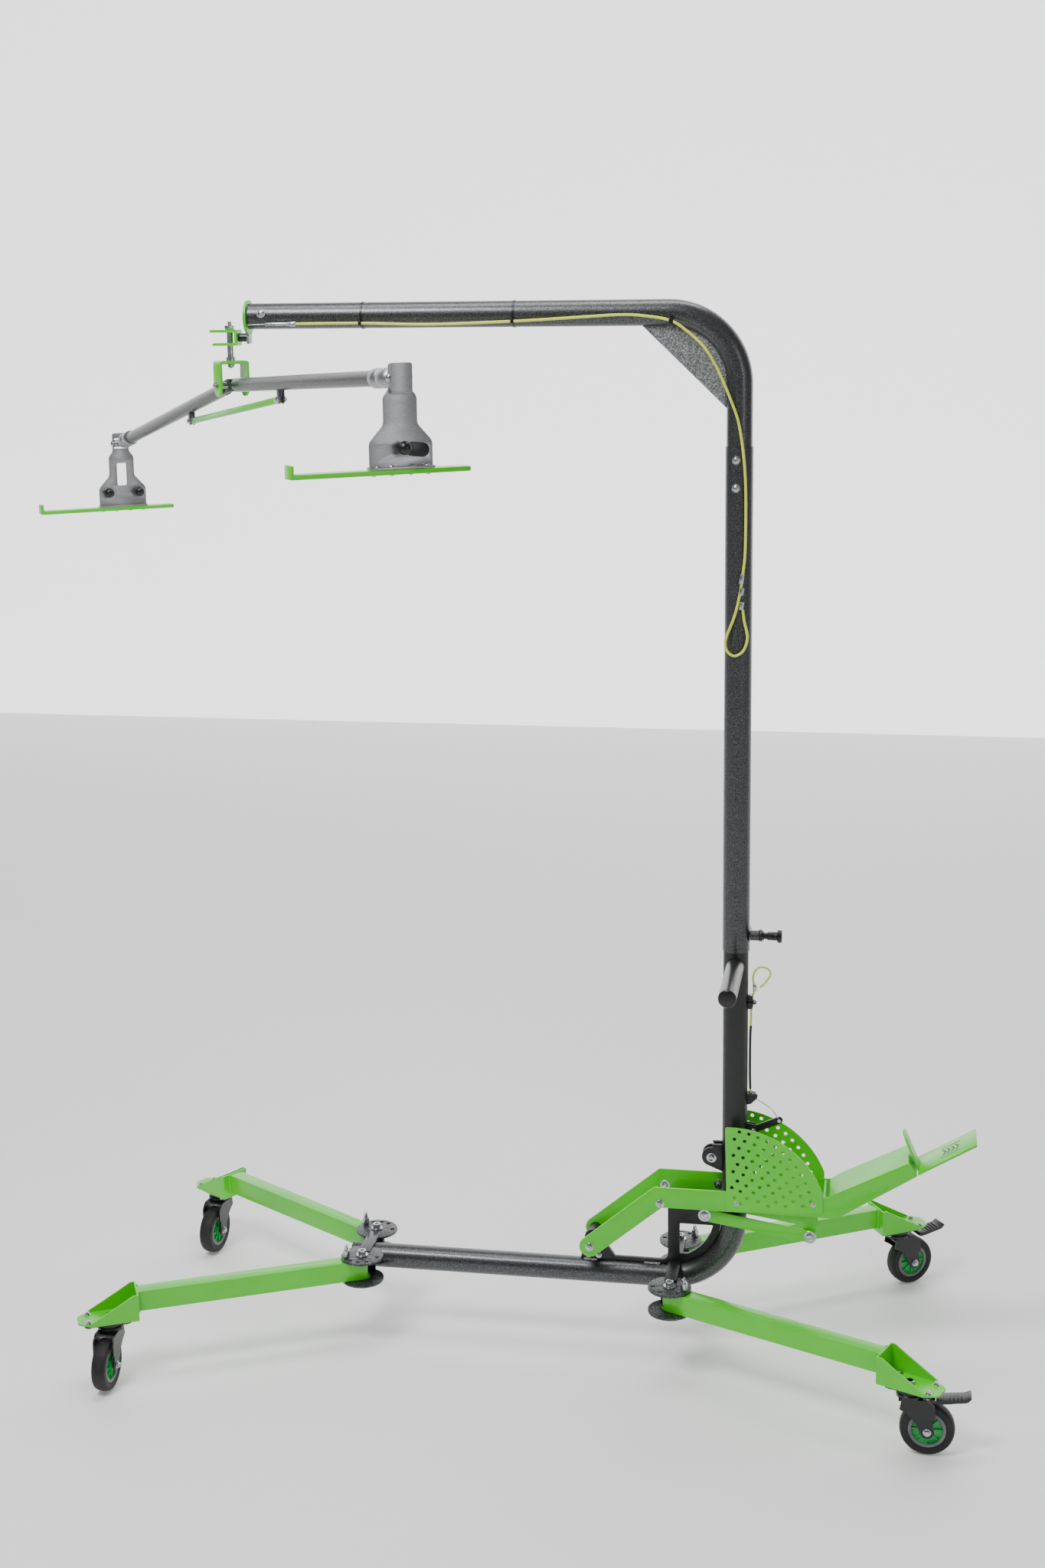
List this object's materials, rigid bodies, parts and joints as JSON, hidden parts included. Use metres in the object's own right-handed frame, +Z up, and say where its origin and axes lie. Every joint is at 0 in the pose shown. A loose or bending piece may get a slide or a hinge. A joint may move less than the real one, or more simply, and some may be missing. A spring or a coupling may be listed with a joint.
{
  "type": "sit to stand lift",
  "caption": "Wheeled sit to stand lift with folding legs, telescopic mast, curved boom, foot lever and a tilting spreader with two sling bars.",
  "frame": {"origin": "centre of the bounding box's footprint, at floor level", "axes": "+Z up; +X from the boom's free end towards the foot pedal; -Y is the near side that carries the cables"},
  "size_m": [2.054, 1.5158, 2.069],
  "materials": {
    "lime_powder_coat": "semi-gloss lime green powder coat",
    "hammered_silver": "hammered dark silver powder coat",
    "black_powder_coat": "satin black powder coat",
    "dark_plate": "dark grey hammered coat",
    "zinc": "bright zinc plated steel",
    "aluminium": "brushed aluminium",
    "tyre": "black rubber",
    "black_plastic": "moulded black plastic",
    "yellow_sheath": "yellow cable sheath"
  },
  "bodies": {
    "base": {"base_tube": "hammered_silver", "base_end_cap": "black_plastic", "base_gusset": "black_powder_coat", "front_pivot_yoke": "dark_plate", "rear_pivot_yoke": "dark_plate", "mast_tube": "black_powder_coat", "push_handle": "hammered_silver", "lower_release_cable": "yellow_sheath", "pivot_bolt_front_near": "zinc", "pivot_bolt_front_far": "zinc", "pivot_bolt_rear_near": "zinc", "pivot_bolt_rear_far": "zinc"},
    "leg_front_near": {"leg_front_near": "lime_powder_coat"},
    "pin_front_near": {"index_pin_front_near": "zinc"},
    "caster_front_near": {"caster_fork_front_near": "black_powder_coat"},
    "wheel_front_near": {"wheel_hub_front_near": "lime_powder_coat", "tyre_front_near": "tyre"},
    "leg_front_far": {"leg_front_far": "lime_powder_coat"},
    "pin_front_far": {"index_pin_front_far": "zinc"},
    "caster_front_far": {"caster_fork_front_far": "black_powder_coat"},
    "wheel_front_far": {"wheel_hub_front_far": "lime_powder_coat", "tyre_front_far": "tyre"},
    "leg_rear_near": {"leg_rear_near": "lime_powder_coat"},
    "pin_rear_near": {"index_pin_rear_near": "zinc"},
    "caster_rear_near": {"caster_fork_rear_near": "black_powder_coat"},
    "wheel_rear_near": {"wheel_hub_rear_near": "lime_powder_coat", "tyre_rear_near": "tyre"},
    "brake_rear_near": {"brake_pedal_rear_near": "black_powder_coat"},
    "leg_rear_far": {"leg_rear_far": "lime_powder_coat"},
    "pin_rear_far": {"index_pin_rear_far": "zinc"},
    "caster_rear_far": {"caster_fork_rear_far": "black_powder_coat"},
    "wheel_rear_far": {"wheel_hub_rear_far": "lime_powder_coat", "tyre_rear_far": "tyre"},
    "brake_rear_far": {"brake_pedal_rear_far": "black_powder_coat"},
    "foot_lever": {"lever_frame": "lime_powder_coat", "pedal_plate": "lime_powder_coat", "guard_near": "lime_powder_coat", "guard_far": "lime_powder_coat"},
    "lower_link": {"lever_link": "lime_powder_coat"},
    "strut": {"link_strut": "lime_powder_coat"},
    "release": {"release_lever": "zinc"},
    "column": {"sleeve": "hammered_silver", "boom_tube": "hammered_silver", "boom_flange": "lime_powder_coat", "head_bracket": "lime_powder_coat", "upper_release_cable": "yellow_sheath"},
    "plunger": {"index_plunger": "black_plastic"},
    "yoke": {"spreader_yoke": "lime_powder_coat", "swivel_pin": "zinc"},
    "spreader": {"arm_near": "hammered_silver", "arm_far": "hammered_silver", "link_rod": "lime_powder_coat"},
    "hanger_near": {"hanger_near": "aluminium", "sling_bar_near": "lime_powder_coat"},
    "hanger_far": {"hanger_far": "aluminium", "sling_bar_far": "lime_powder_coat"},
    "knob_near": {"knob_near": "black_plastic"},
    "knob_far_left": {"knob_far_left": "black_plastic"},
    "knob_far_right": {"knob_far_right": "black_plastic"}
  },
  "joints": [
    {"name": "leg_swing_front_near", "type": "hinge", "parent": "base", "child": "leg_front_near", "pos_m": [-0.1706, -0.03408, 0.1625], "axis": [0, 0, 1], "range_deg": [0, 145]},
    {"name": "index_pin_pull_front_near", "type": "slide", "parent": "base", "child": "pin_front_near", "axis": [0, 0, 1], "range_m": [0, 0.025]},
    {"name": "caster_swivel_front_near", "type": "hinge", "parent": "leg_front_near", "child": "caster_front_near", "pos_m": [-0.62, -0.25326, 0.1265], "axis": [0, 0, 1], "continuous": true},
    {"name": "wheel_spin_front_near", "type": "hinge", "parent": "caster_front_near", "child": "wheel_front_near", "pos_m": [-0.62, -0.28526, 0.05], "axis": [1, 0, 0], "continuous": true},
    {"name": "leg_swing_front_far", "type": "hinge", "parent": "base", "child": "leg_front_far", "pos_m": [-0.1706, 0.08932, 0.1625], "axis": [0, 0, 1], "range_deg": [-145, 0]},
    {"name": "index_pin_pull_front_far", "type": "slide", "parent": "base", "child": "pin_front_far", "axis": [0, 0, 1], "range_m": [0, 0.025]},
    {"name": "caster_swivel_front_far", "type": "hinge", "parent": "leg_front_far", "child": "caster_front_far", "pos_m": [-0.59463, 0.35428, 0.1265], "axis": [0, 0, 1], "continuous": true},
    {"name": "wheel_spin_front_far", "type": "hinge", "parent": "caster_front_far", "child": "wheel_front_far", "pos_m": [-0.59963, 0.32267, 0.05], "axis": [0.9877, -0.1564, 0], "continuous": true},
    {"name": "leg_swing_rear_near", "type": "hinge", "parent": "base", "child": "leg_rear_near", "pos_m": [0.4511, -0.07688, 0.1625], "axis": [0, 0, 1], "range_deg": [-145, 0]},
    {"name": "index_pin_pull_rear_near", "type": "slide", "parent": "base", "child": "pin_rear_near", "axis": [0, 0, 1], "range_m": [0, 0.025]},
    {"name": "caster_swivel_rear_near", "type": "hinge", "parent": "leg_rear_near", "child": "caster_rear_near", "pos_m": [0.90928, -0.27705, 0.1265], "axis": [0, 0, 1], "continuous": true},
    {"name": "wheel_spin_rear_near", "type": "hinge", "parent": "caster_rear_near", "child": "wheel_rear_near", "pos_m": [0.94127, -0.27761, 0.05], "axis": [0.0175, 0.9998, 0], "continuous": true},
    {"name": "brake_press_rear_near", "type": "hinge", "parent": "caster_rear_near", "child": "brake_rear_near", "pos_m": [0.95927, -0.27793, 0.1065], "axis": [0.0175, 0.9998, 0], "range_deg": [0, 12]},
    {"name": "leg_swing_rear_far", "type": "hinge", "parent": "base", "child": "leg_rear_far", "pos_m": [0.4511, 0.13212, 0.1625], "axis": [0, 0, 1], "range_deg": [0, 145]},
    {"name": "index_pin_pull_rear_far", "type": "slide", "parent": "base", "child": "pin_rear_far", "axis": [0, 0, 1], "range_m": [0, 0.025]},
    {"name": "caster_swivel_rear_far", "type": "hinge", "parent": "leg_rear_far", "child": "caster_rear_far", "pos_m": [0.88411, 0.38212, 0.1265], "axis": [0, 0, 1], "continuous": true},
    {"name": "wheel_spin_rear_far", "type": "hinge", "parent": "caster_rear_far", "child": "wheel_rear_far", "pos_m": [0.91064, 0.40002, 0.05], "axis": [-0.5592, 0.829, 0], "continuous": true},
    {"name": "brake_press_rear_far", "type": "hinge", "parent": "caster_rear_far", "child": "brake_rear_far", "pos_m": [0.92556, 0.41008, 0.1065], "axis": [-0.5592, 0.829, 0], "range_deg": [0, 12]},
    {"name": "foot_lever_press", "type": "hinge", "parent": "base", "child": "foot_lever", "pos_m": [0.287, 0.02762, 0.231], "axis": [0, 1, 0], "range_deg": [0, 7], "stiffness_Nm_per_rad": 80, "springref_deg": -25.78},
    {"name": "lower_link_swing", "type": "hinge", "parent": "base", "child": "lower_link", "pos_m": [0.512, 0.02762, 0.308], "axis": [0, 1, 0], "range_deg": [0, 14.5]},
    {"name": "strut_swing", "type": "hinge", "parent": "foot_lever", "child": "strut", "pos_m": [0.717, 0.02762, 0.343], "axis": [0, 1, 0], "range_deg": [0, 14]},
    {"name": "release_lever_pull", "type": "hinge", "parent": "base", "child": "release", "pos_m": [0.603, 0.02762, 0.476], "axis": [0, -1, 0], "range_deg": [0, 15]},
    {"name": "mast_lift", "type": "slide", "parent": "base", "child": "column", "axis": [0, 0, 1], "range_m": [0, 0.3]},
    {"name": "index_plunger_pull", "type": "slide", "parent": "column", "child": "plunger", "axis": [1, 0, 0], "range_m": [0, 0.008], "stiffness_N_per_m": 300, "springref_m": -0.01},
    {"name": "spreader_swivel", "type": "hinge", "parent": "column", "child": "yoke", "pos_m": [-0.393, 0.02762, 1.911], "axis": [0, 0, 1], "continuous": true},
    {"name": "spreader_tilt", "type": "hinge", "parent": "yoke", "child": "spreader", "pos_m": [-0.393, 0.02762, 1.911], "axis": [0.809, 0.5878, 0], "range_deg": [-12, 12]},
    {"name": "hanger_swing_near", "type": "hinge", "parent": "spreader", "child": "hanger_near", "pos_m": [0.0892, -0.63607, 1.95399], "axis": [0.809, 0.5878, 0], "range_deg": [-25, 25]},
    {"name": "knob_near_pull", "type": "slide", "parent": "hanger_near", "child": "knob_near", "axis": [0.5878, -0.809, 0], "range_m": [0, 0.006], "stiffness_N_per_m": 300, "springref_m": -0.01},
    {"name": "hanger_swing_far", "type": "hinge", "parent": "spreader", "child": "hanger_far", "pos_m": [-0.86667, 0.67957, 1.75144], "axis": [0.809, 0.5878, 0], "range_deg": [-25, 25]},
    {"name": "knob_far_left_pull", "type": "slide", "parent": "hanger_far", "child": "knob_far_left", "axis": [0.5878, -0.809, 0], "range_m": [0, 0.006], "stiffness_N_per_m": 300, "springref_m": -0.01},
    {"name": "knob_far_right_pull", "type": "slide", "parent": "hanger_far", "child": "knob_far_right", "axis": [0.5878, -0.809, 0], "range_m": [0, 0.006], "stiffness_N_per_m": 300, "springref_m": -0.01}
  ],
  "couplings": [
    {"joint": "lower_link_swing", "follows": "foot_lever_press", "ratio": 2.03},
    {"joint": "strut_swing", "follows": "foot_lever_press", "ratio": 1.95}
  ]
}
